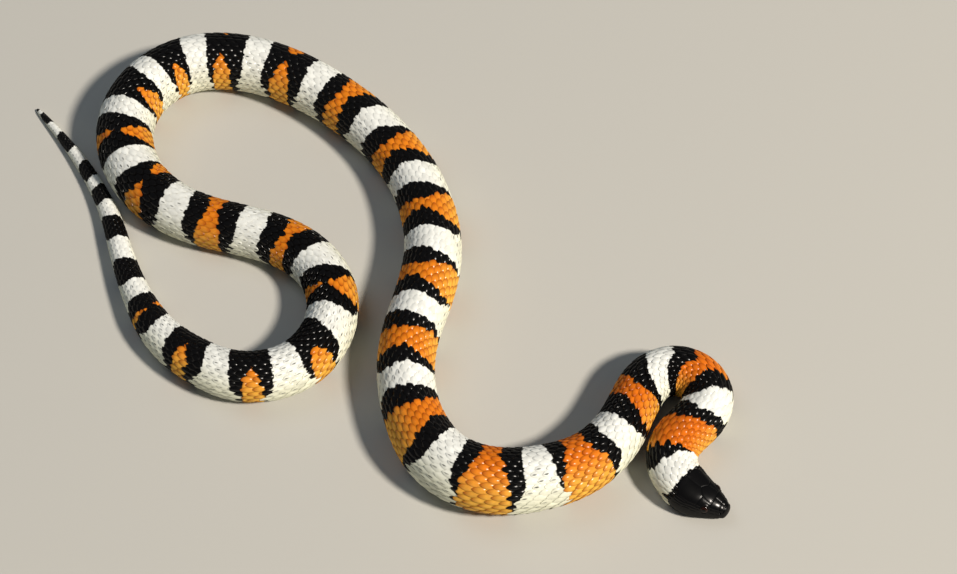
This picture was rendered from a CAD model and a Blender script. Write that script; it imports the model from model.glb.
import math

import bpy
import numpy as np
from mathutils import Matrix, Vector
from mathutils.kdtree import KDTree


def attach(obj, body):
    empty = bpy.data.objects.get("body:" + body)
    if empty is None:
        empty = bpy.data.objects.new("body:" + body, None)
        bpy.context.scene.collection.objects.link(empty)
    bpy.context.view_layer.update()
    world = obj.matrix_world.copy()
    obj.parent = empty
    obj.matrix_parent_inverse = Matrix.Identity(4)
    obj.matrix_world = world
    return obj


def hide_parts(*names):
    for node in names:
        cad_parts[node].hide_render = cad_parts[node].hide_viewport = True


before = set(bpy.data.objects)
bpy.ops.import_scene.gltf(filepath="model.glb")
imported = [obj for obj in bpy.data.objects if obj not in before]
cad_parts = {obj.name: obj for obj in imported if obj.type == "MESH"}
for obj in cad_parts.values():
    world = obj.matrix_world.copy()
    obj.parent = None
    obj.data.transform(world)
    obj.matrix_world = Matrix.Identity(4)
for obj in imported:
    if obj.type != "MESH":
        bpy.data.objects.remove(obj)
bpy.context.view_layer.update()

# Milk snake lying on a studio floor. Body lengths are in mm from the tip of the snout,
# and a turn is an angle in degrees from the middle of the back, positive on the snake's left.
mm = 0.001
rng = np.random.default_rng(11)

bodyLine = {
    "route": [  # spine on the floor, snout to tail tip
        (63.2, -72.6), (58.2, -69.4), (53.3, -66.2), (50.0, -61.2), (49.9, -56.0), (53.1, -50.8),
        (57.9, -45.7), (59.9, -39.9), (57.5, -34.2), (51.7, -31.8), (45.6, -34.1), (40.7, -41.4),
        (36.1, -50.8), (27.6, -60.2), (15.6, -65.4), (2.6, -66.2), (-8.6, -60.8), (-15.6, -50.0),
        (-18.8, -37.0), (-18.6, -24.0), (-15.2, -10.0), (-12.5, 6.0), (-14.2, 21.0), (-20.0, 36.5),
        (-29.8, 50.6), (-42.5, 62.5), (-57.0, 71.6), (-71.0, 76.0), (-84.5, 75.0), (-95.5, 67.0),
        (-101.0, 52.5), (-98.5, 38.0), (-90.0, 26.0), (-76.5, 18.0), (-60.0, 13.0), (-48.0, 6.5),
        (-40.6, -4.0), (-40.0, -18.0), (-48.0, -30.2), (-61.5, -33.6), (-75.0, -28.0), (-85.4, -18.4),
        (-92.3, -6.6), (-98.0, 7.5), (-102.6, 21.0), (-108.8, 34.4), (-117.4, 48.2), (-129.4, 64.2),
    ],
    "middle": (-31.18, 4.74),  # of the laid-out body, over the model's origin
    "girth": [
        (13, 13.2), (16, 13.1), (30, 13.5), (50, 13.4), (70, 13.4), (88, 14.8), (105, 16.6), (120, 17.4),
        (137, 16.6), (155, 15.3), (175, 15.6), (195, 16.1), (215, 15.6), (240, 14.9), (262, 15.3),
        (286, 16.2), (311, 16.8), (340, 16.5), (370, 15.4), (400, 14.3), (430, 14.1), (455, 14.2),
        (475, 13.7), (490, 12.5), (505, 10.6), (520, 8.3), (532, 7.0), (545, 6.1), (560, 4.9),
        (575, 3.8), (590, 2.5), (597, 1.7), (600, 0.9), (600.6, 0.0),
    ],
    "height": [(0, 0.77), (17, 0.77), (28, 0.9), (42, 1.0), (601, 1.0)],  # share of the girth
    "bellyCut": 0.08,  # share of the half height pressed flat by the floor
    "bellySoftness": 0.2,  # roundness where the flat begins
    "roll": [  # the body leans a little to its left or right as it winds
        (0, 0), (48, 2), (68, 8), (94, 14), (118, 20), (145, 20), (169, -4), (191, -14), (215, -14),
        (239, -15), (262, -7), (283, 0), (303, -3), (320, 2), (336, 4), (353, 8), (371, 5), (393, 4),
        (416, 13), (438, 12), (458, 8), (475, 8), (494, 22), (512, 14), (535, 5), (600, 0),
    ],
}


def smoothRoute(points, step):
    # natural cubic spline, the line a springy strip takes through the points
    points = np.array(points, float)
    knots = np.concatenate([[0], np.cumsum(np.linalg.norm(np.diff(points, axis=0), axis=1))])
    spans = np.diff(knots)
    count = len(points)
    system = np.eye(count)
    bends = np.zeros_like(points)
    for i in range(1, count - 1):
        system[i, i - 1 : i + 2] = spans[i - 1], 2 * (spans[i - 1] + spans[i]), spans[i]
        rises = np.diff(points[i - 1 : i + 2], axis=0) / spans[i - 1 : i + 1, None]
        bends[i] = 6 * (rises[1] - rises[0])
    bends = np.linalg.solve(system, bends)
    samples = np.linspace(0, knots[-1], int(knots[-1] / step) + 1)
    i = np.clip(np.searchsorted(knots, samples, side="right") - 1, 0, count - 2)
    ahead = (knots[i + 1] - samples)[:, None]
    behind = (samples - knots[i])[:, None]
    span = spans[i][:, None]
    curve = (bends[i] * ahead**3 + bends[i + 1] * behind**3) / (6 * span)
    curve += (points[i] / span - bends[i] * span / 6) * ahead
    curve += (points[i + 1] / span - bends[i + 1] * span / 6) * behind
    distance = np.concatenate([[0], np.cumsum(np.linalg.norm(np.diff(curve, axis=0), axis=1))])
    return curve, distance


spine, distance = smoothRoute(bodyLine["route"], 0.25)
spine = spine - np.array(bodyLine["middle"])
heading = np.gradient(spine, axis=0)
heading = heading / np.linalg.norm(heading, axis=1)[:, None]


def smoothTable(table, at):
    # cubic through the rows of a table, with no overshoot between them
    xs, ys = np.array(table, float).T
    at = np.clip(at, xs[0], xs[-1])
    spans = np.diff(xs)
    rises = np.diff(ys) / spans
    slopes = np.zeros_like(ys)
    slopes[0], slopes[-1] = rises[0], rises[-1]
    both = rises[:-1] + rises[1:]
    same = rises[:-1] * rises[1:] > 0
    slopes[1:-1][same] = 2 * rises[:-1][same] * rises[1:][same] / both[same]
    i = np.clip(np.searchsorted(xs, at, side="right") - 1, 0, len(spans) - 1)
    t = (at - xs[i]) / spans[i]
    start = ys[i] * (1 + 2 * t) + slopes[i] * spans[i] * t
    end = ys[i + 1] * (3 - 2 * t) - slopes[i + 1] * spans[i] * (1 - t)
    return start * (1 - t) ** 2 + end * t**2


def easeIn(value, low, high):
    t = np.clip((value - low) / (high - low), 0, 1)
    return t * t * (3 - 2 * t)


def place(along, across, up):
    # a point given by its place on the body, in metres
    x, y = (np.interp(along, distance, spine[:, i]) for i in (0, 1))
    aheadX, aheadY = (np.interp(along, distance, heading[:, i]) for i in (0, 1))
    return np.stack([x + aheadY * across, y - aheadX * across, up + 0 * x], -1) * mm


def roll(along):
    return smoothTable(bodyLine["roll"], along)


def unrolled(along, turn):
    # a turn counted from the middle of the leaning back, from -180 to 180
    return (turn - roll(along) + 180) % 360 - 180


def softFloor(up):
    return 0.5 * (up + np.sqrt(up**2 + bodyLine["bellySoftness"] ** 2))


def bodySection(along, turn):
    halfWidth = smoothTable(bodyLine["girth"], along) / 2
    halfHeight = halfWidth * smoothTable(bodyLine["height"], along)
    angle = np.radians(turn)
    across = halfWidth * np.sin(angle)
    up = halfHeight * (1 - bodyLine["bellyCut"] + np.cos(angle))
    return across, np.where(halfHeight > 0.5, softFloor(up), np.maximum(up, 0))


headShape = {
    "halfWidth": [
        (0, 1.3), (0.6, 1.85), (1.2, 2.3), (2, 2.8), (3, 3.3), (4, 3.8), (5.3, 4.45), (7, 5.2),
        (9, 5.9), (11, 6.35), (13, 6.5), (15, 6.55), (17, 6.53),
    ],
    "crown": [
        (0, 4.2), (0.6, 4.7), (1.2, 5.1), (2, 5.5), (3, 5.95), (4, 6.4), (5.3, 6.95), (7, 7.5),
        (9, 8.05), (11, 8.6), (13, 9.1), (15, 9.55), (17, 9.9),
    ],
    "lipLine": [
        (0, 2.3), (1.2, 2.15), (3, 2.3), (5.3, 2.2), (7, 2.2), (9, 2.5), (11, 3.0), (12.5, 3.5), (17, 3.8),
    ],
    "chin": [(0, 1.9), (0.6, 1.3), (1.2, 0.7), (2, 0.2), (3, -0.2), (4, -0.4), (17, -0.5)],
    "crownPower": 0.8,  # below 1 squares the section off
    "jawPower": 0.7,
    "jawInset": [(0, 0.35), (11.5, 0.35), (13.5, 0.0)],  # lower jaw inside the upper lip
    "mouthDepth": [(0, 0.0), (0.5, 0.3), (10.5, 0.3), (12.2, 0.0)],
    "mouthGap": 0.03,
    "mouthFull": 0.3,  # depth from which the gap is whole
    "lipTurn": 110.0,  # turns of the upper and the lower lip's edge
    "jawTurn": 116.0,
    "snoutRound": 0.9,  # length of the rounded front
    "snoutHeight": 2.9,
    "neckBlend": [(0, 0.0), (11.5, 0.0), (13.5, 0.25), (15, 0.7), (17, 1.0)],  # share of the neck's section
    "neckWhole": 17,  # all is the neck's section from here
    "girthFrom": 16,  # the neck's section stays as it is here further forward
    "end": 17.4,
}


def headSection(along, turn):
    side, turn = np.where(turn < 0, -1.0, 1.0), np.abs(turn)
    shape = headShape
    front = np.clip(along / shape["snoutRound"], 0, 1)
    front = np.sqrt(1 - (1 - front) ** 2)
    level = shape["snoutHeight"]
    back = np.maximum(along, shape["snoutRound"])
    width = smoothTable(shape["halfWidth"], back) * front
    crown, lip, chin = (
        level + (smoothTable(shape[name], back) - level) * front for name in ("crown", "lipLine", "chin")
    )
    inset = smoothTable(shape["jawInset"], along) * front
    depth = smoothTable(shape["mouthDepth"], along)
    gap = shape["mouthGap"] * np.minimum(depth / shape["mouthFull"], 1)

    over = np.radians(np.clip(turn / shape["lipTurn"], 0, 1) * 90)
    across = width * np.sin(over) ** shape["crownPower"]
    up = lip + gap + (crown - lip - gap) * np.maximum(np.cos(over), 0) ** shape["crownPower"]

    groove = (turn - shape["lipTurn"]) / (shape["jawTurn"] - shape["lipTurn"])
    inMouth = (groove > 0) & (groove < 1)
    grooved = width - inset * groove - depth * (1 - np.abs(2 * groove - 1))
    across = np.where(inMouth, grooved, across)
    up = np.where(inMouth, lip + gap * (1 - 2 * groove), up)

    under = np.clip((turn - shape["jawTurn"]) / (180 - shape["jawTurn"]), 0, 1)
    angle = np.radians(90 * np.sin(np.radians(90 * under)))
    jawAcross = (width - inset) * np.maximum(np.cos(angle), 0) ** shape["jawPower"]
    jawUp = lip - gap - (lip - gap - chin) * np.sin(angle) ** shape["jawPower"]
    across = np.where(groove >= 1, jawAcross, across)
    up = np.where(groove >= 1, softFloor(jawUp), up)

    share = smoothTable(shape["neckBlend"], along)
    neckAcross, neckUp = bodySection(np.maximum(along, shape["girthFrom"]), turn)
    return side * (across + (neckAcross - across) * share), up + (neckUp - up) * share


def section(along, turn):
    turn = (turn + 180) % 360 - 180
    bodyAcross, bodyUp = bodySection(along, turn)
    headAcross, headUp = headSection(np.minimum(along, headShape["neckWhole"]), turn)
    onHead = along < headShape["neckWhole"]
    return np.where(onHead, headAcross, bodyAcross), np.where(onHead, headUp, bodyUp)


def skinPoint(along, turn, lift):
    # a point of the surface, raised by lift square to it
    across, up = section(along, turn)
    step = 1.0
    before, after = section(along, turn - step), section(along, turn + step)
    down, out = after[1] - before[1], after[0] - before[0]
    size = np.hypot(down, out) + 1e-9
    return place(along, across - down / size * lift, np.maximum(up + out / size * lift, 0))


print("stage: body line ready,", round(float(distance[-1]), 1), "mm long")

# The rings, front and rear edge in mm from the snout: on the left flank, the back and the
# right flank. Where a front lies behind its rear, the ring is broken there.
rings = {
    "white": [
        (13.5, 21.5, 13.2, 19.6, 12.8, 18.0), (36.5, 42.0, 34.3, 41.4, 35.0, 37.0),
        (56.0, 60.0, 55.8, 63.2, 61.0, 67.6), (80.5, 85.0, 81.0, 88.5, 81.5, 87.8),
        (105.5, 109.8, 104.2, 111.6, 104.0, 111.8), (130.5, 138.0, 128.6, 136.2, 127.8, 134.8),
        (153.8, 160.2, 154.4, 162.4, 155.5, 161.0), (177.0, 183.5, 177.9, 184.8, 178.3, 183.0),
        (197.6, 205.4, 199.5, 207.6, 200.8, 207.1), (220.5, 229.0, 223.7, 232.0, 225.0, 230.7),
        (243.5, 252.5, 247.0, 255.5, 248.4, 254.5), (270.0, 277.5, 269.6, 277.2, 269.7, 276.0),
        (292.0, 298.0, 290.1, 297.7, 290.2, 297.0), (310.0, 315.3, 309.2, 316.6, 309.6, 316.6),
        (326.3, 329.5, 325.4, 331.4, 325.5, 331.8), (341.0, 345.3, 340.8, 347.2, 342.5, 349.0),
        (359.3, 365.3, 359.3, 366.7, 359.9, 367.0), (380.2, 387.0, 379.2, 387.0, 378.5, 385.2),
        (401.4, 408.8, 401.7, 409.8, 401.8, 408.6), (423.4, 429.2, 424.0, 431.1, 425.0, 433.5),
        (444.0, 449.5, 444.3, 451.2, 445.8, 453.6), (462.5, 469.7, 462.5, 469.6, 463.2, 470.0),
        (483.0, 489.5, 481.2, 488.8, 479.6, 486.4), (501.7, 508.5, 500.7, 507.0, 499.4, 505.8),
        (518.6, 524.5, 518.0, 524.3, 518.0, 524.0), (531.8, 540.5, 532.6, 541.0, 533.5, 540.8),
        (549.0, 555.8, 549.1, 555.5, 550.0, 555.0), (562.3, 566.5, 561.9, 565.7, 561.2, 565.0),
        (573.0, 579.6, 572.5, 579.0, 571.8, 578.8), (587.2, 591.8, 586.8, 592.1, 586.2, 592.2),
        (597.3, 599.2, 597.0, 599.0, 597.2, 598.6),
    ],
    "orange": [
        (21.5, 34.0, 22.4, 30.5, 22.0, 28.5), (44.0, 52.1, 47.0, 50.0, 44.8, 55.5),
        (66.5, 72.5, 69.2, 73.6, 69.6, 78.0), (90.5, 99.5, 94.0, 98.8, 91.2, 103.0),
        (115.8, 124.0, 117.6, 122.6, 115.2, 125.5), (143.7, 151.1, 142.8, 149.0, 138.9, 149.1),
        (162.8, 174.1, 167.8, 172.5, 165.7, 172.8), (186.1, 195.5, 190.0, 193.4, 188.6, 194.4),
        (208.8, 218.5, 213.9, 216.8, 213.0, 219.0), (232.8, 241.9, 237.6, 240.9, 236.4, 242.3),
        (258.0, 266.8, 261.2, 263.6, 260.0, 265.8), (281.6, 287.7, 284.8, 283.2, 280.0, 286.8),
        (303.2, 306.6, 307.0, 301.5, 301.2, 307.6), (323.0, 319.0, 325.0, 317.2, 318.4, 323.8),
        (336.0, 333.0, 338.4, 334.3, 334.0, 340.3), (350.6, 354.0, 353.8, 352.8, 350.8, 358.5),
        (370.0, 375.0, 373.2, 371.6, 367.6, 373.4), (390.5, 397.2, 392.6, 395.2, 390.2, 396.5),
        (413.6, 419.2, 416.0, 417.6, 413.8, 419.5), (435.0, 439.5, 438.4, 437.4, 435.6, 442.5),
        (460.0, 458.0, 461.0, 456.5, 456.5, 461.5), (476.0, 474.5, 476.3, 473.4, 472.6, 476.8),
        (494.2, 495.8, 496.2, 493.3, 491.0, 495.1), (512.3, 514.8, 513.0, 511.9, 510.8, 512.6),
    ],
    "flankTurn": 60.0,  # where the flank's edges are given
    "bend": 0.75,  # how early an edge leaves its place on the back
    "flare": 2.2,  # white spreads this far each way, low on the sides
    "flareFrom": 70,  # but not in the neck's rings
    "flareTurns": (60, 100),
    "snap": (0.24, 0.45),  # how far a white and an orange ring's edge gives way to the scales' outlines
    "lowSnap": 0.7,  # more of that low on the sides
    "lowSharpness": 0.35,  # mm, how much crisper a white ring's edge is there
    "lowTurns": (55, 90),  # where that comes in
    "paleTurns": (20, 105),  # where the low colours come in
    "rearAlongs": (60, 200),  # where the front's redder orange goes over into the rest
    "colours": {
        "white": "#E9EAE4", "whiteLow": "#E6E6CE", "black": "#090808",
        "orangeFront": "#DB6F16", "orange": "#E2801A", "orangeLow": "#F0B447",
    },
}


def linear(hexColour):
    # sRGB hex to the linear numbers that the shaders take
    channels = [int(hexColour[i : i + 2], 16) / 255 for i in (1, 3, 5)]
    return np.array([c / 12.92 if c <= 0.04045 else ((c + 0.055) / 1.055) ** 2.4 for c in channels])


def ringDepth(kind, along, turn):
    # how far inside a ring of this kind each place lies, in mm, and below zero outside
    table = np.array(rings[kind])
    turn = unrolled(along, turn)
    share = np.clip(np.abs(turn) / rings["flankTurn"], 0, 1)[:, None] ** rings["bend"]
    left = (turn > 0)[:, None]
    edges = []
    for edge in (0, 1):
        flank = np.where(left, table[None, :, edge], table[None, :, 4 + edge])
        edges.append(table[None, :, 2 + edge] * (1 - share) + flank * share)
    flare = easeIn(np.abs(turn), *rings["flareTurns"])[:, None] * (kind == "white")
    flare = flare * rings["flare"] * (table[None, :, 0] > rings["flareFrom"])
    depth = np.minimum(along[:, None] - edges[0] + flare, edges[1] + flare - along[:, None])
    return depth.max(axis=1)


def tints(along, turn):
    # what white and orange look like at each place
    colours = {name: linear(value) for name, value in rings["colours"].items()}
    low = easeIn(np.abs(unrolled(along, turn)), *rings["paleTurns"])[:, None]
    rear = easeIn(along, *rings["rearAlongs"])[:, None]
    orange = colours["orangeFront"] * (1 - rear) + colours["orange"] * rear
    orange = orange * (1 - low) + colours["orangeLow"] * low
    return colours["white"] * (1 - low) + colours["whiteLow"] * low, orange


def layMarkings(mesh, along, turn, whiteShade, orangeShade, shift=0):
    white, orange = tints(along, turn)
    low = easeIn(np.abs(turn), *rings["lowTurns"])
    depth = ringDepth("white", along + (rings["snap"][0] + rings["lowSnap"] * low) * shift, turn)
    storeValues(mesh, "whiteDepth", depth + rings["lowSharpness"] * low * np.sign(depth))
    storeValues(mesh, "orangeDepth", ringDepth("orange", along + rings["snap"][1] * shift, turn))
    storeValues(mesh, "whiteTint", white * whiteShade[:, None])
    storeValues(mesh, "orangeTint", orange * orangeShade[:, None])


def deselectAll():
    bpy.ops.object.select_all(action="DESELECT")


def pick(item):
    deselectAll()
    item.select_set(True)
    bpy.context.view_layer.objects.active = item


def editMesh(item, *steps):
    # runs edit-mode operators, the first of them with all selected
    pick(item)
    bpy.ops.object.mode_set(mode="EDIT")
    bpy.ops.mesh.select_all(action="SELECT")
    for operator, options in steps:
        operator(**options)
    bpy.ops.object.mode_set(mode="OBJECT")


def storeValues(mesh, name, values):
    kind = "FLOAT_COLOR" if np.ndim(values) == 2 else "FLOAT"
    layer = mesh.attributes.new(name, kind, "POINT")
    if kind == "FLOAT_COLOR":
        values = np.concatenate([values, np.ones((len(values), 1))], 1)
        layer.data.foreach_set("color", values.astype(np.float32).ravel())
    else:
        layer.data.foreach_set("value", np.asarray(values, np.float32))


# Plates of the head: the seams between them as (along, turn), given for one side.
headPlates = {
    "middleSeams": [
        [(1.3, 0), (4.05, 0)],
        [(8.2, 0), (12.75, 0)],
        [(1.9, 180), (8.6, 180)],
    ],
    "seams": [
        [(1.3, 0), (0.85, 22), (0.72, 45), (0.85, 62), (0.95, 86), (1.05, 109)],  # rostral
        [(2.1, 0), (1.95, 32), (1.75, 58)],  # internasal to prefrontal
        [(0.85, 62), (1.75, 58), (2.45, 60), (3.8, 59), (4.25, 60)],  # over nasal and loreal
        [(4.05, 0), (4.2, 34), (4.25, 60)],  # prefrontal to frontal and supraocular
        [(4.2, 34), (5.6, 27), (6.9, 18), (8.2, 0)],  # round the frontal
        [(6.9, 18), (7.15, 40), (7.55, 61)],  # supraocular to parietal
        [(4.25, 60), (5.0, 64), (6.3, 64.5), (7.55, 61)],  # brow
        [(7.55, 61), (9.5, 60), (11.6, 53), (12.5, 34), (12.9, 14), (12.75, 0)],  # round the parietal
        [(2.45, 60), (2.4, 84)],  # nasal to loreal
        [(1.3, 60), (1.35, 86)],  # across the nostril
        [(3.7, 59), (3.9, 82)],  # loreal to preocular
        [(0.95, 86), (1.7, 86), (2.4, 83.5), (3.2, 84.5), (3.9, 82), (4.3, 86)],  # over the upper labials
        [(6.5, 89), (7.0, 86.5), (8.35, 84), (9.1, 80), (10.2, 84.5), (11.2, 84), (12.2, 89)],
        [(7.55, 61), (7.15, 67), (7.4, 74), (6.95, 80), (7.0, 86.5)],  # behind the postoculars
        [(6.5, 76), (7.4, 74), (8.4, 72), (9.6, 73.5)],  # first temporals
        [(9.5, 60), (9.95, 66), (9.6, 73.5), (9.1, 80)],
        [(9.95, 66), (11.0, 64), (12.1, 65.5)],  # temporals behind them
        [(9.6, 73.5), (10.8, 76), (11.9, 75)],
        [(11.6, 53), (12.1, 65.5), (11.9, 75), (12.2, 89), (12.4, 109)],
        [(2.2, 150), (2.6, 143), (4.6, 137), (7.6, 134), (11.8, 133)],  # under the lower labials
        [(1.2, 180), (1.5, 160), (1.2, 117)],  # mental
        [(2.2, 150), (1.9, 180)],
        [(5.6, 180), (5.5, 150), (4.6, 137)],
        [(8.6, 180), (8.3, 160), (7.6, 134)],
        [(2.4, 84), (2.25, 109)],  # upper labials
        [(3.9, 82), (3.65, 109)],
        [(5.35, 95), (5.2, 109)],
        [(6.75, 88), (6.75, 109)],
        [(8.35, 84), (8.5, 109)],
        [(10.2, 84.5), (10.6, 109)],
        [(2.2, 117), (2.4, 144)],  # lower labials
        [(3.2, 117), (3.6, 139)],
        [(4.3, 117), (4.8, 136.5)],
        [(5.7, 117), (6.3, 135)],
        [(7.5, 117), (8.1, 134)],
        [(9.2, 117), (9.7, 133.5)],
        [(10.8, 117), (11.1, 133)],
    ],
    "seamSteps": 100,  # points down each stretch of a seam
    "seamWidth": 0.12,  # of its darker line
    "seamFloor": -0.03,  # level of the seam's floor, then what the plate's edge and its dome add
    "edge": (0.075, 0.15),  # height, width
    "dome": (0.05, 0.8),
    "nostril": (1.3, 75, 0.3, 0.4),  # along, turn, radius, depth
    "eyeRim": (1.3, 0.14, 0.13),  # radius from the eye's middle, width, height
}
eye = {
    "along": 5.4, "across": 3.35, "up": 4.75,
    "radius": 1.27,
    "bulge": 0.84,  # share of the radius by which the dome stands out
    "lookOut": (2.0, 0.62),  # sideways and upwards
    "lookForward": 0.35,
    "pupil": 26,  # degrees from the eye's axis
    "iris": 62,
    "softness": 0.02,  # of the pupil's edge
    "roughness": 0.4,
    "coat": 0.55,
    "coatRoughness": 0.06,
    "colours": {"pupil": "#030303", "iris": "#2A130B", "irisEdge": "#0B0606"},
}


def seamPoints():
    # points close together down every seam, on the plain surface of the head
    lines = [(line, (1,)) for line in headPlates["middleSeams"]]
    lines += [(line, (1, -1)) for line in headPlates["seams"]]
    found = []
    for line, sides in lines:
        for (alongA, turnA), (alongB, turnB) in zip(line, line[1:]):
            share = np.linspace(0, 1, headPlates["seamSteps"])
            along = alongA + (alongB - alongA) * share
            turn = turnA + (turnB - turnA) * share
            found += [skinPoint(along, turn * side, 0 * share) for side in sides]
    return np.concatenate(found)


def eyeCentre(side):
    return place(eye["along"], side * eye["across"], eye["up"])


def headRelief(points):
    # plates, nostrils and the rim round each eye, as a height for each point of the head
    seams = seamPoints()
    tree = KDTree(len(seams))
    for index, point in enumerate(seams):
        tree.insert(point, index)
    tree.balance()
    toSeam = np.array([tree.find(point)[2] for point in points]) / mm
    rise, width = headPlates["edge"]
    height = headPlates["seamFloor"] + rise * (1 - np.exp(-((toSeam / width) ** 2)))
    rise, width = headPlates["dome"]
    height += rise * (1 - np.exp(-((toSeam / width) ** 2)))
    along, turn, radius, depth = headPlates["nostril"]
    rim, rimWidth, rimHeight = headPlates["eyeRim"]
    for side in (1, -1):
        pit = skinPoint(along, turn * side, 0)
        toPit = np.linalg.norm(points - pit, axis=1) / mm
        height -= depth * np.exp(-((toPit / radius) ** 4))
        toEye = np.linalg.norm(points - eyeCentre(side), axis=1) / mm
        height += rimHeight * np.exp(-(((toEye - rim) / rimWidth) ** 2))
    return height, np.exp(-((toSeam / headPlates["seamWidth"]) ** 2))


skin = {
    "length": 600.0,  # snout to tail tip, for the bake map
    "coatDepth": 0.3,  # how far it lies inside, under the scales
    "tailDepthGirth": 8.0,  # a thinner body has a thinner coat
    "plateFade": (0.0, 0.15),  # depths over which the head's plates fade out
    "darkening": 0.35,  # of the skin under the scales
    "darkeningDepths": (0.05, 0.25),
    "dropFrom": (-0.1, 0.5),  # it drops to its depth between these, from where the scales begin
    "scalesFrom": [  # where the head's plates end and the scales begin, by turn
        (0, 12.95), (30, 12.65), (54, 11.8), (70, 12.0), (88, 12.2), (110, 12.5), (130, 11.9), (180, 9.2),
    ],
}


def coatShare(along):
    return np.minimum(1, smoothTable(bodyLine["girth"], along) / skin["tailDepthGirth"])


def skinDepth(along, turn):
    start = smoothTable(skin["scalesFrom"], np.abs(turn))
    drop = easeIn(along, start + skin["dropFrom"][0], start + skin["dropFrom"][1])
    return skin["coatDepth"] * drop * coatShare(along)


def makeTube(name, alongs, turns, relief):
    # a grid wrapped round the body, from its first place to its last
    deselectAll()
    bpy.ops.mesh.primitive_grid_add(x_subdivisions=len(turns) - 1, y_subdivisions=len(alongs) - 1, size=1)
    tube = bpy.context.object
    tube.name = name
    along, turn = np.repeat(alongs, len(turns)), np.tile(turns, len(alongs))
    depth = skinDepth(along, turn)
    points = skinPoint(along, turn, -depth)
    seam = np.zeros(len(points))
    if relief:
        height, seam = headRelief(points)
        grid = points.reshape(len(alongs), len(turns), 3)
        closed = np.concatenate([grid[:, -2:-1], grid, grid[:, 1:2]], 1)
        normals = np.cross(closed[:, 2:] - closed[:, :-2], np.gradient(grid, axis=0)).reshape(-1, 3)
        normals /= np.linalg.norm(normals, axis=1)[:, None] + 1e-12
        tip = len(turns)
        normals[: 2 * tip] = normals[tip : 2 * tip].mean(axis=0)
        bare = 1 - easeIn(depth, *skin["plateFade"])
        points = points + normals * (height * bare)[:, None] * mm
        points[:, 2] = np.maximum(points[:, 2], 0)
        points[:tip] = points[:tip].mean(axis=0)
        seam = seam * bare
    mesh = tube.data
    mesh.vertices.foreach_set("co", points.astype(np.float32).ravel())
    shade = 1 - skin["darkening"] * easeIn(depth, *skin["darkeningDepths"])
    layMarkings(mesh, along, turn, shade, shade)
    storeValues(mesh, "seam", seam)
    storeValues(mesh, "alongShare", along / skin["length"])
    storeValues(mesh, "turnShare", 0.5 + turn / 360)
    editMesh(tube, (bpy.ops.mesh.remove_doubles, {"threshold": 1e-6}))
    return tube


def readAll(items, name, width=1, kind=np.float32):
    # one property of all of a mesh's points, faces or corners
    values = np.zeros(len(items) * width, kind)
    items.foreach_get(name, values)
    return values


def readCorners(mesh):
    return readAll(mesh.loops, "vertex_index", kind=np.int32)


def readPoints(mesh):
    return readAll(mesh.vertices, "co", 3).reshape(-1, 3)


def layOutSkin(mesh):
    # the bake map: the skin slit along the belly and laid flat
    corners = readCorners(mesh)
    starts = readAll(mesh.polygons, "loop_start", kind=np.int32)
    counts = np.diff(np.append(starts, len(corners)))
    u, v = (
        readAll(mesh.attributes[name].data, "value").astype(float)[corners]
        for name in ("alongShare", "turnShare")
    )
    wide = np.repeat(np.maximum.reduceat(v, starts) - np.minimum.reduceat(v, starts) > 0.5, counts)
    v[wide & (v < 0.5)] += 1
    writeMap(mesh, u, v)


def writeMap(mesh, u, v):
    layer = mesh.uv_layers.get("OFBake") or mesh.uv_layers.new(name="OFBake")
    layer.data.foreach_set("uv", np.stack([u, v], -1).astype(np.float32).ravel())
    for other in [layer for layer in mesh.uv_layers if layer.name != "OFBake"]:
        mesh.uv_layers.remove(other)


def spread(*spans):
    # evenly spaced values over several spans of (first, last, cells)
    runs = [np.linspace(first, last, cells, endpoint=False) for first, last, cells in spans]
    return np.append(np.concatenate(runs), spans[-1][1])


# places of the skin's grid, finest at the lips and the snout
lip, jaw = headShape["lipTurn"], headShape["jawTurn"]
halfTurns = spread((0, 60, 66), (60, lip, 66), (lip, jaw, 8), (jaw, 180, 44))
headTurns = np.concatenate([-halfTurns[:0:-1], halfTurns])
roundFront = headShape["snoutRound"] * (1 - np.cos(np.radians(np.linspace(0, 90, 16))))
headAlongs = np.concatenate([roundFront, spread((0.97, 12.9, 180), (12.9, headShape["end"], 18))])
bodyAlongs = spread((headShape["end"] + 0.5, 590, 340), (590, 600.6, 16))
bodyTurns = np.linspace(-180, 180, 37)

headTube = makeTube("skin", headAlongs, headTurns, True)
bodyTube = makeTube("bodyTube", bodyAlongs, bodyTurns, False)
deselectAll()
headTube.select_set(True)
bodyTube.select_set(True)
bpy.context.view_layer.objects.active = headTube
bpy.ops.object.join()
bridgeEnds = [
    (bpy.ops.mesh.select_all, {"action": "DESELECT"}),
    (bpy.ops.mesh.select_non_manifold, {"extend": False, "use_wire": False, "use_multi_face": False,
                                        "use_non_contiguous": False, "use_verts": False}),
    (bpy.ops.mesh.bridge_edge_loops, {}),
    (bpy.ops.mesh.select_all, {"action": "SELECT"}),
    (bpy.ops.mesh.normals_make_consistent, {"inside": False}),
]
bpy.context.scene.tool_settings.mesh_select_mode = (False, True, False)
editMesh(headTube, *bridgeEnds)
bpy.context.scene.tool_settings.mesh_select_mode = (True, False, False)
layOutSkin(headTube.data)
pick(headTube)
bpy.ops.object.shade_smooth()
print("stage: skin done,", len(headTube.data.polygons), "faces")

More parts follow.
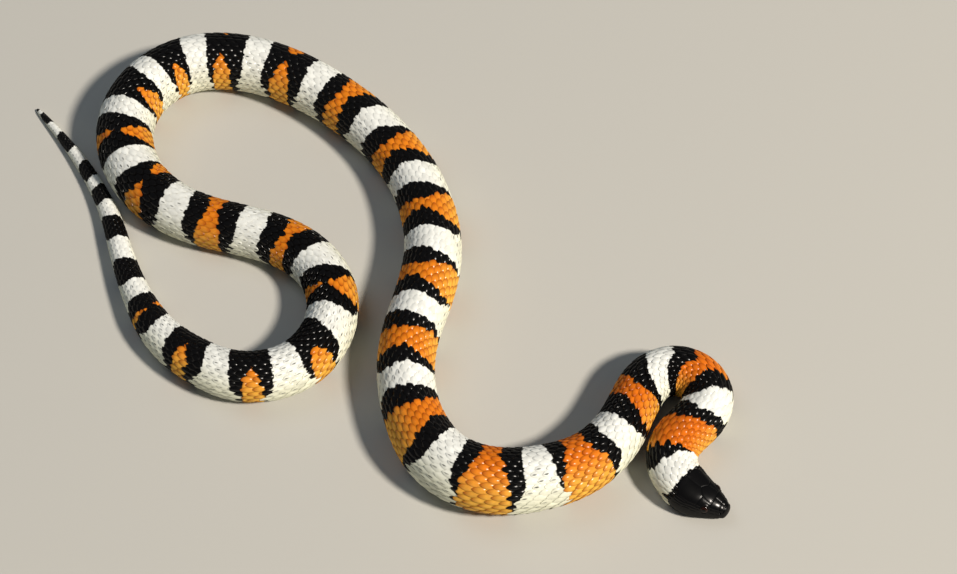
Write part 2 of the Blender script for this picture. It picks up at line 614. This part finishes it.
# Scales. One is modelled flat, and its copies are laid over the skin like roof tiles.
scales = {
    "pitch": [(8, 1.9), (14, 2.1), (24, 2.4), (50, 2.55), (110, 2.75), (420, 2.7), (480, 2.5),
              (520, 2.1), (560, 1.75), (590, 1.25), (600, 1.1)],
    "rows": [(12, 19), (30, 19.5), (60, 21), (95, 21.5), (116, 25), (128, 25), (145, 23), (165, 21),
             (420, 21), (465, 21.5), (485, 19), (503, 17), (510, 14.5), (530, 11.5), (550, 9.5),
             (570, 7.5), (590, 5.5), (600, 4.5)],
    "bellyEdge": 126,  # turn where the rows end and the belly's plates begin
    "beyondEdge": 0.35,  # the last row may lie this share of a row past that
    "leanAlongs": (16, 30),  # where the rows begin to follow the body's roll
    "first": 7.5,
    "last": 599.2,
    "ends": (0.3, 600.2),  # no scale reaches past these
    "throatEdge": 176,  # the throat has small scales all round
    "throatEnd": 16,
    "tuckedIn": 1.1,  # how far the first scales begin under the head's plates
    "cells": (4, 7),  # across and along
    "wallTaper": (0.94, 0.97, 1),  # its underside is a little smaller
    "rootWidth": 0.6,  # share of the full width
    "widest": 0.4,  # place of the full width, from root to tip
    "tipRound": (2.2, 0.75),
    "middle": 0.42,  # place of a scale's own point on the body, from root to tip
    "length": 1.5,  # in pitches, with what its neighbours cover
    "halfWidth": 0.72,  # in rows
    "blunt": 0.16,  # width of the tip
    "rootLift": -0.36,
    "tipLift": -0.03,
    "liftCurve": 1.2,
    "crown": 0.15,
    "crownSpan": (0.1, 0.93),  # where it starts, and its length
    "thickness": 0.07,
    "unevenness": 0.02,
    "placeUnevenness": (0.03, 0.02),  # in pitches and in rows
    "tipUnevenness": 0.012,
    "sharpAngle": 50,  # the walls' edges stay sharp
    "bounds": [0, 60, 130, 210, 290, 370, 450, 520, 610],  # one piece for each length
    "names": ["scalesNeck", "scalesChest", "scalesFore", "scalesMiddle", "scalesAft", "scalesRear",
              "scalesHips", "scalesTail"],
    "edgeShade": (0.93, 0.62),  # brightness at the edge of a white and an orange scale
    "wallShade": 0.5,  # walls are darkened as a seam is, by this share
    "tone": (0.05, 0.85, 1.1),  # spread of brightness, darkest and lightest scale
    "ringPoint": 0.1,  # ring edges follow a point this share of a scale behind its own
    "stray": 0.25,  # how much a ring's edge wanders from scale to scale
    "streakChance": 0.85,
    "streaksFrom": {  # turn on each side beyond which white scales are streaked, by place along the body
        "left": [(90, 80), (200, 60), (300, 45), (340, 15), (480, 0), (530, 30)],
        "right": [(90, 70), (120, 15), (260, 15), (330, 40), (400, 20), (460, 0)],
    },
    "streakShade": (0.55, 1.0),
    "streakFade": 12,  # turn each way over which they come in
    "streakTurns": (95, 120),  # where they end low on the sides
    "streakAlongs": (90, 125),  # where they begin behind the head
    "patch": 0.003,  # a scale's width on the bake map
}


def flatScale(name, cells):
    # two units wide and one long, root at y = 0, with walls and a closed underside
    deselectAll()
    bpy.ops.mesh.primitive_grid_add(x_subdivisions=cells[0], y_subdivisions=cells[1], size=2)
    item = bpy.context.object
    item.name = name
    editMesh(
        item,
        (bpy.ops.transform.resize, {"value": (1, 0.5, 1)}),
        (bpy.ops.transform.translate, {"value": (0, 0.5, 0)}),
        (bpy.ops.mesh.region_to_loop, {}),
        (bpy.ops.mesh.extrude_edges_move, {"TRANSFORM_OT_translate": {"value": (0, 0, -1)}}),
        (bpy.ops.transform.resize, {"value": scales["wallTaper"]}),
        (bpy.ops.mesh.edge_face_add, {}),
        (bpy.ops.mesh.select_all, {"action": "SELECT"}),
        (bpy.ops.mesh.normals_make_consistent, {"inside": False}),
    )
    return item


def readShape(item):
    faces = [list(face.vertices) for face in item.data.polygons]
    return readPoints(item.data).astype(float), faces


def layScales(name, shape, rows):
    # rows holds each scale's along and turn, length, half width in degrees, lift at root and tip,
    # crown, blunt tip's width, and for its colour the streak, the tone and the stray
    flat, faces = shape
    count, size = len(rows["along"]), len(flat)
    x, t, wall = flat[:, 0], np.clip(flat[:, 1], 0, 1), flat[:, 2] < -0.5
    rootWidth, widest = scales["rootWidth"], scales["widest"]
    early = rootWidth + (1 - rootWidth) * np.sin(np.radians(90 * np.clip(t / widest, 0, 1)))
    late = np.clip((t - widest) / (1 - widest), 0, 1)
    square, full = scales["tipRound"]
    profile = early * ((1 - late**square) ** full * (1 - rows["blunt"]) + rows["blunt"])
    share = coatShare(rows["along"])[:, None]
    along = rows["along"][:, None] + (t - scales["middle"])[None, :] * rows["length"][:, None]
    turn = rows["turn"][:, None] + (x * profile)[None, :] * rows["halfWidth"][:, None]
    slope = (rows["tipLift"] - rows["rootLift"])[:, None]
    lift = rows["rootLift"][:, None] + slope * t[None, :] ** scales["liftCurve"]
    start, run = scales["crownSpan"]
    hump = (1 - x**2) * np.sin(np.pi * np.clip((t - start) / run, 0, 1))
    lift = lift + rows["crown"] * hump[None, :]
    lift = (lift - scales["thickness"] * wall[None, :]) * share
    along = np.clip(along, *scales["ends"])
    points = skinPoint(along.ravel(), turn.ravel(), lift.ravel())
    offsets = np.arange(count) * size
    allFaces = [[corner + offset for corner in face] for offset in offsets.tolist() for face in faces]
    mesh = bpy.data.meshes.new(name)
    mesh.from_pydata(points.tolist(), [], allFaces)
    item = bpy.data.objects.new(name, mesh)
    bpy.context.scene.collection.objects.link(item)
    edge = np.clip(np.maximum(np.abs(x), np.abs(2 * t - 1)), 0, 1)
    edge = np.where(wall, 1.0, edge**4)[None, :]
    whiteShade = (1 - (1 - scales["edgeShade"][0]) * edge) * rows["tone"][:, None]
    orangeShade = (1 - (1 - scales["edgeShade"][1]) * edge) * rows["tone"][:, None]
    ringPoint = rows["along"][:, None] + scales["ringPoint"] * rows["length"][:, None]
    shift = ringPoint - along + rows["stray"][:, None]
    layMarkings(mesh, along.ravel(), turn.ravel(), whiteShade.ravel(), orangeShade.ravel(), shift.ravel())
    storeValues(mesh, "seam", np.tile(np.where(wall, scales["wallShade"], 0.0), count))
    storeValues(mesh, "scaleAcross", np.tile(x, count))
    storeValues(mesh, "scaleAlong", np.tile(t, count))
    storeValues(mesh, "streak", np.repeat(rows["streak"], size))
    corners = readCorners(mesh)
    centreU = np.clip(rows["along"] / skin["length"], 0, 1)
    centreV = 0.5 + rows["turn"] / 360
    u = centreU[:, None] + (t - 0.5)[None, :] * scales["patch"]
    v = centreV[:, None] + (x / 2)[None, :] * scales["patch"]
    writeMap(mesh, u.ravel()[corners], v.ravel()[corners])
    pick(item)
    bpy.ops.object.shade_smooth_by_angle(angle=math.radians(scales["sharpAngle"]))
    return item


def jitter(count, amount):
    return 1 + rng.normal(0, amount, count)


def addStreaks(rows):
    # dark streaks on white scales, on the flanks and towards the tail on the back too,
    # with each scale's own tone and its share in how a ring's edge wanders
    along, count = rows["along"], len(rows["along"])
    turn = unrolled(along, rows["turn"])
    left, right = (smoothTable(scales["streaksFrom"][side], along) for side in ("left", "right"))
    begin, fade = np.where(turn > 0, left, right), scales["streakFade"]
    chance = easeIn(np.abs(turn), begin - fade, begin + fade)
    chance = chance * (1 - easeIn(np.abs(turn), *scales["streakTurns"]))
    streaked = rng.random(count) < scales["streakChance"] * chance * easeIn(along, *scales["streakAlongs"])
    rows["streak"] = np.where(streaked, rng.uniform(*scales["streakShade"], count), 0.0)
    uneven, darkest, lightest = scales["tone"]
    rows["tone"] = np.clip(jitter(count, uneven), darkest, lightest)
    rows["stray"] = rng.normal(0, scales["stray"], count)
    return rows


def lean(along):
    return roll(along) * easeIn(along, *scales["leanAlongs"])


def backRows():
    # every scale of the back and sides, in slanting rows
    stations = [scales["first"]]
    while stations[-1] < scales["last"]:
        stations.append(stations[-1] + float(smoothTable(scales["pitch"], stations[-1])) / 2)
    along, turn = [], []
    for k, station in enumerate(stations):
        step = 2 * scales["bellyEdge"] / float(smoothTable(scales["rows"], station))
        edge = scales["throatEdge"] if station < scales["throatEnd"] else scales["bellyEdge"]
        reach = int(edge / step + scales["beyondEdge"])
        for j in range(-reach, reach + 1):
            start = float(smoothTable(skin["scalesFrom"], abs(j * step)))
            if (j + k) % 2 == 0 and station > start - scales["tuckedIn"]:
                along.append(station)
                turn.append(j * step)
    along, turn = np.array(along), np.array(turn)
    count = len(along)
    step = 2 * scales["bellyEdge"] / smoothTable(scales["rows"], along)
    pitch = smoothTable(scales["pitch"], along)
    onward, sideways = scales["placeUnevenness"]
    return {
        "along": along + rng.normal(0, onward, count) * pitch,
        "turn": turn + lean(along) + rng.normal(0, sideways, count) * step,
        "length": scales["length"] * pitch * jitter(count, scales["unevenness"]),
        "halfWidth": scales["halfWidth"] * step * jitter(count, scales["unevenness"]),
        "rootLift": np.full(count, scales["rootLift"]),
        "tipLift": scales["tipLift"] + rng.normal(0, scales["tipUnevenness"], count),
        "crown": scales["crown"],
        "blunt": scales["blunt"],
    }


def only(rows, chosen):
    return {name: value[chosen] if np.ndim(value) else value for name, value in rows.items()}


scaleShape = flatScale("oneScale", scales["cells"])
template = readShape(scaleShape)
allRows = addStreaks(backRows())
coat = []
for first, last, name in zip(scales["bounds"], scales["bounds"][1:], scales["names"]):
    chosen = (allRows["along"] >= first) & (allRows["along"] < last)
    coat.append(layScales(name, template, only(allRows, chosen)))
print("stage: scales done,", len(allRows["along"]), "of them")

belly = {
    "first": 16.0,
    "vent": 503.0,
    "last": 597.0,
    "plates": 190,
    "pairs": 45,
    "halfWidth": 57,  # in degrees, as the next two
    "pairHalfWidth": 29,
    "pairTurn": 27,  # each of a pair lies this far from the middle
    "cells": (20, 4),
    "overlap": 1.45,
    "rootLift": -0.38,
    "tipLift": -0.06,
    "crown": 0.0,
    "blunt": 0.8,
}


def bellyRows():
    # broad plates in one row down to the vent, then pairs under the tail
    share = (np.arange(belly["plates"]) + 0.5) / belly["plates"]
    along = belly["first"] + (belly["vent"] - belly["first"]) * share
    pitch = np.full(belly["plates"], (belly["vent"] - belly["first"]) / belly["plates"])
    turn = 180 + lean(along)
    halfWidth = np.full(belly["plates"], float(belly["halfWidth"]))
    share = (np.arange(belly["pairs"]) + 0.5) / belly["pairs"]
    under = belly["vent"] + (belly["last"] - belly["vent"]) * share
    step = np.full(belly["pairs"], (belly["last"] - belly["vent"]) / belly["pairs"])
    for side in (1, -1):
        along = np.append(along, under + 0.5 * step * (side > 0))
        pitch = np.append(pitch, step)
        turn = np.append(turn, 180 + side * belly["pairTurn"] + roll(under))
        halfWidth = np.append(halfWidth, np.full(belly["pairs"], float(belly["pairHalfWidth"])))
    count = len(along)
    return {
        "along": along,
        "turn": turn,
        "length": belly["overlap"] * pitch,
        "halfWidth": halfWidth,
        "rootLift": np.full(count, belly["rootLift"]),
        "tipLift": np.full(count, belly["tipLift"]),
        "crown": belly["crown"],
        "blunt": belly["blunt"],
    }


plateShape = flatScale("onePlate", belly["cells"])
plateRows = addStreaks(bellyRows())
plateRows["streak"] = plateRows["streak"] * 0  # the belly has none
coat.append(layScales("bellyPlates", readShape(plateShape), plateRows))
for item in (scaleShape, plateShape):
    bpy.data.objects.remove(item)
print("stage: belly done")


def makeEye(name, side):
    deselectAll()
    bpy.ops.mesh.primitive_uv_sphere_add(segments=48, ring_count=32, radius=eye["radius"] * mm)
    item = bpy.context.object
    item.name = name
    middle = Vector(eyeCentre(side))
    onSpine = place(eye["along"], 0, 0)
    outward = Vector(place(eye["along"], side * eye["lookOut"][0], eye["lookOut"][1]) - onSpine)
    forward = Vector(place(eye["along"] - 0.5, 0, 0) - onSpine)
    axis = (outward.normalized() + eye["lookForward"] * forward.normalized()).normalized()
    mesh = item.data
    fromAxis = np.degrees(np.arccos(np.clip(readPoints(mesh)[:, 2] / (eye["radius"] * mm), -1, 1)))
    storeValues(mesh, "fromAxis", fromAxis / 90)
    mesh.transform(Matrix.Diagonal((1, 1, eye["bulge"], 1)))
    mesh.transform(Vector((0, 0, 1)).rotation_difference(axis).to_matrix().to_4x4())
    mesh.transform(Matrix.Translation(middle))
    pick(item)
    bpy.ops.object.shade_smooth()
    return item


eyes = [makeEye("eyeLeft", 1), makeEye("eyeRight", -1)]
print("stage: eyes done")


def addNode(tree, kind, settings=None, **links):
    # settings are the node's own properties, links its inputs: a value, an output, or a node,
    # which stands for its first output
    node = tree.nodes.new("ShaderNode" + kind)
    for name, value in (settings or {}).items():
        setattr(node, name, value)
    for name, value in links.items():
        socket = node.inputs[int(name[1:])] if name[0] == "_" else node.inputs[name.replace("_", " ")]
        if isinstance(value, bpy.types.Node):
            value = value.outputs[0]
        if isinstance(value, bpy.types.NodeSocket):
            tree.links.new(value, socket)
        else:
            socket.default_value = value
    return node


def newMaterial(name):
    material = bpy.data.materials.new(name)
    material.use_nodes = True
    tree = material.node_tree
    tree.nodes.clear()
    return material, tree


def rgba(hexColour):
    return (*linear(hexColour), 1)


# Keratin scales: soft colour under a clear shiny layer, so that each scale glints under the lamp
keratinLook = {
    "blotchesPerMm": 0.7,
    "grainsPerMm": 4.5,
    "grain": (0.12, 0.00004),  # strength, and height in m
    "noiseRange": (0.3, 0.7),  # what the blotches mostly lie between
    "tone": (0.88, 1.06),  # darkest and lightest blotch
    "edgeBlur": 0.1,  # mm, how softly a ring ends
    "edgeWander": 0.35,  # mm, how far the noise moves it
    "roughness": (0.3, 0.42),
    "seamShade": 0.5,
    "specular": 0.0,  # all the shine is the clear layer's
    "coat": 0.25,
    "coatIor": 1.8,
    "coatRoughness": 0.24,
    "rounding": 0.0003,  # m, how far the clear layer falls away to a scale's edges
    "streakAt": 0.8,  # middle of a white scale's dark streak, along the scale
    "streakSize": (0.24, 0.17),  # share of the half width and of the length
    "streakEdge": (1.7, 0.9),  # distance from its middle, with the noise, where it starts and is full
    "streak": "#3A3C3A",
    "tip": "#9C3A08",  # of an orange scale
    "tipFrom": 0.77,  # place along the scale, with the noise
    "tipFull": 1.15,
    "tipRagged": 0.3,  # how much the noise moves it
    "baredFrom": 0.33,  # place along a scale where the one before stops covering it
    "tipShare": 0.65,
}


def makeKeratin():
    material, tree = newMaterial("keratin")
    look = keratinLook
    names = ["whiteDepth", "orangeDepth", "whiteTint", "orangeTint", "seam"]
    names += ["scaleAcross", "scaleAlong", "streak"]
    read = {name: addNode(tree, "Attribute", {"attribute_name": name}).outputs for name in names}
    onObject = addNode(tree, "TexCoord").outputs["Object"]
    blotch = addNode(tree, "TexNoise", Vector=onObject, Scale=look["blotchesPerMm"] / mm, Detail=4.0)

    # dark streaks near the tips of white scales, and darker tips on orange ones
    sideways = addNode(tree, "Math", {"operation": "DIVIDE"},
                       _0=read["scaleAcross"]["Fac"], _1=look["streakSize"][0])
    lengthways = addNode(tree, "MapRange", {"clamp": False},
                         Value=read["scaleAlong"]["Fac"], From_Min=look["streakAt"],
                         From_Max=look["streakAt"] + look["streakSize"][1])
    fromMiddle = addNode(tree, "CombineXYZ", X=sideways, Y=lengthways)
    radius = addNode(tree, "VectorMath", {"operation": "LENGTH"}, _0=fromMiddle)
    ragged = addNode(tree, "Math", {"operation": "ADD"}, _0=radius.outputs["Value"], _1=blotch)
    streakFrom, streakFull = look["streakEdge"]
    streak = addNode(tree, "MapRange", Value=ragged,
                     From_Min=streakFrom, From_Max=streakFull, To_Max=read["streak"]["Fac"])
    raggedTip = addNode(tree, "Math", {"operation": "MULTIPLY_ADD"}, _0=blotch, _1=look["tipRagged"],
                        _2=read["scaleAlong"]["Fac"])
    tip = addNode(tree, "MapRange", Value=raggedTip, From_Min=look["tipFrom"], From_Max=look["tipFull"],
                  To_Max=look["tipShare"])
    marks = {"white": (streak, "streak"), "orange": (tip, "tip")}

    # the rings, orange over black and white over both
    wander = addNode(tree, "MapRange", Value=blotch,
                     To_Min=-look["edgeWander"], To_Max=look["edgeWander"])
    colour = rgba(rings["colours"]["black"])
    for kind in ("orange", "white"):
        depth = addNode(tree, "Math", {"operation": "ADD"}, _0=read[kind + "Depth"]["Fac"], _1=wander)
        inside = addNode(tree, "MapRange", Value=depth,
                         From_Min=-look["edgeBlur"], From_Max=look["edgeBlur"])
        share, name = marks[kind]
        tipped = addNode(tree, "Mix", {"data_type": "RGBA"}, _0=share,
                         _6=read[kind + "Tint"]["Color"], _7=rgba(look[name]))
        mix = addNode(tree, "Mix", {"data_type": "RGBA"}, _0=inside, _6=colour, _7=tipped.outputs[2])
        colour = mix.outputs[2]
    noiseLow, noiseHigh = look["noiseRange"]
    tone = addNode(tree, "MapRange", Value=blotch, From_Min=noiseLow,
                   From_Max=noiseHigh, To_Min=look["tone"][0], To_Max=look["tone"][1])
    dim = addNode(tree, "MapRange", Value=read["seam"]["Fac"], To_Min=1.0, To_Max=look["seamShade"])
    both = addNode(tree, "Math", {"operation": "MULTIPLY"}, _0=tone, _1=dim)
    coloured = addNode(tree, "VectorMath", {"operation": "SCALE"}, _0=colour, Scale=both)

    # a fine grain below, and above it a clear layer rounded over each scale
    grain = addNode(tree, "TexNoise", Vector=onObject, Scale=look["grainsPerMm"] / mm, Detail=3.0)
    rough = addNode(tree, "MapRange", Value=blotch, From_Min=noiseLow, From_Max=noiseHigh,
                    To_Min=look["roughness"][0], To_Max=look["roughness"][1])
    bump = addNode(tree, "Bump", Height=grain, Strength=look["grain"][0], Distance=look["grain"][1])
    acrossFall = addNode(tree, "Math", {"operation": "POWER"}, _0=read["scaleAcross"]["Fac"], _1=2.0)
    bared = addNode(tree, "MapRange", Value=read["scaleAlong"]["Fac"],
                    From_Min=look["baredFrom"], From_Max=1.0, To_Min=-1.0, To_Max=1.0)
    alongFall = addNode(tree, "Math", {"operation": "POWER"}, _0=bared, _1=2.0)
    fall = addNode(tree, "Math", {"operation": "ADD"}, _0=acrossFall, _1=alongFall)
    rounded = addNode(tree, "Bump", {"invert": True}, Height=fall, Distance=look["rounding"])
    shader = addNode(tree, "BsdfPrincipled", Base_Color=coloured, Roughness=rough, Normal=bump,
                     Specular_IOR_Level=look["specular"], Coat_Weight=look["coat"],
                     Coat_IOR=look["coatIor"], Coat_Roughness=look["coatRoughness"], Coat_Normal=rounded)
    addNode(tree, "OutputMaterial", Surface=shader)
    return material


# Clear scale over the eye: a wet-looking dome over a dark brown iris and a round pupil
def makeEyeMaterial():
    material, tree = newMaterial("clearEyeScale")
    ring = addNode(tree, "Attribute", {"attribute_name": "fromAxis"})
    ramp = addNode(tree, "ValToRGB", Fac=ring.outputs["Fac"])
    stops = ramp.color_ramp.elements
    stops[0].position, stops[0].color = eye["pupil"] / 90 - eye["softness"], rgba(eye["colours"]["pupil"])
    stops[1].position, stops[1].color = eye["iris"] / 90, rgba(eye["colours"]["irisEdge"])
    middle = stops.new(eye["pupil"] / 90 + eye["softness"])
    middle.color = rgba(eye["colours"]["iris"])
    shader = addNode(tree, "BsdfPrincipled", Base_Color=ramp,
                     Roughness=eye["roughness"], Specular_IOR_Level=0.0,
                     Coat_Weight=eye["coat"], Coat_Roughness=eye["coatRoughness"])
    addNode(tree, "OutputMaterial", Surface=shader)
    return material


# Matt seamless paper, pale and plain, so that nothing draws the eye from the animal
def makePaper():
    material, tree = newMaterial("paper")
    shader = addNode(tree, "BsdfPrincipled", Base_Color=rgba(studio["paperColour"]),
                     Roughness=studio["paperRoughness"], Specular_IOR_Level=studio["paperSpecular"])
    addNode(tree, "OutputMaterial", Surface=shader)
    return material


studio = {
    "paperColour": "#BDBBB4",
    "paperRadius": 3.0,
    "paperThickness": 0.0004,
    "paperRoughness": 0.9,
    "paperSpecular": 0.2,
    "lamps": {  # place in metres, size, watts, colour
        "key": ((1.9, -1.1, 2.1), 0.4, 127.0, "#FFF6EA"),
        "fill": ((-0.7, 0.5, 1.3), 0.9, 3.2, "#E4EEFF"),
    },
    "sky": ("#CCDCE8", 0.15),
    "aim": (0.03118, -0.00474, 0.0),  # what the camera looks at
    "distance": 0.5698,
    "tilt": 54.0,  # below the horizon
    "lens": 77.97,
}


def makeFloor():
    deselectAll()
    bpy.ops.mesh.primitive_circle_add(vertices=96, radius=studio["paperRadius"], fill_type="NGON")
    floor = bpy.context.object
    floor.name = "floor"
    down = {"value": (0, 0, -studio["paperThickness"])}
    editMesh(
        floor,
        (bpy.ops.mesh.extrude_region_move, {"TRANSFORM_OT_translate": down}),
        (bpy.ops.mesh.normals_make_consistent, {"inside": False}),
    )
    return floor


def addLamp(name, location, size, watts, colour):
    bpy.ops.object.light_add(type="AREA", location=location)
    lamp = bpy.context.object
    lamp.name = name
    lamp.data.shape = "DISK"
    lamp.data.size = size
    lamp.data.energy = watts
    lamp.data.color = linear(colour)
    lamp.visible_glossy = name == "key"  # only the key lamp is mirrored in the scales
    lamp.rotation_euler = (-Vector(location)).to_track_quat("-Z", "Y").to_euler()


keratin = makeKeratin()
headTube.data.materials.append(keratin)
for item in coat:
    item.data.materials.append(keratin)
eyeMaterial = makeEyeMaterial()
for item in eyes:
    item.data.materials.append(eyeMaterial)
floor = makeFloor()
floor.data.materials.append(makePaper())
for name, lamp in studio["lamps"].items():
    addLamp(name, *lamp)
world = bpy.data.worlds.new("sky")
bpy.context.scene.world = world
world.use_nodes = True
background = world.node_tree.nodes["Background"]
background.inputs["Color"].default_value = rgba(studio["sky"][0])
background.inputs["Strength"].default_value = studio["sky"][1]

tilt = math.radians(studio["tilt"])
aim = Vector(studio["aim"])
reach = Vector((0, -math.cos(tilt), math.sin(tilt))) * studio["distance"]
bpy.ops.object.camera_add(location=aim + reach, rotation=(math.pi / 2 - tilt, 0, 0))
camera = bpy.context.object
camera.data.lens = studio["lens"]
camera.data.sensor_width = 36
camera.data.clip_start = 0.01
bpy.context.scene.camera = camera
bpy.context.scene.view_settings.view_transform = "Standard"
print("stage: studio done")

flesh = [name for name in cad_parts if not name.startswith("eye_")]
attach(headTube, "root")
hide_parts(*flesh)
for item in coat:
    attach(item, "root")
    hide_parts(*flesh)
for item, node in zip(eyes, ("eye_left", "eye_right")):
    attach(item, "root")
    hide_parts(node)
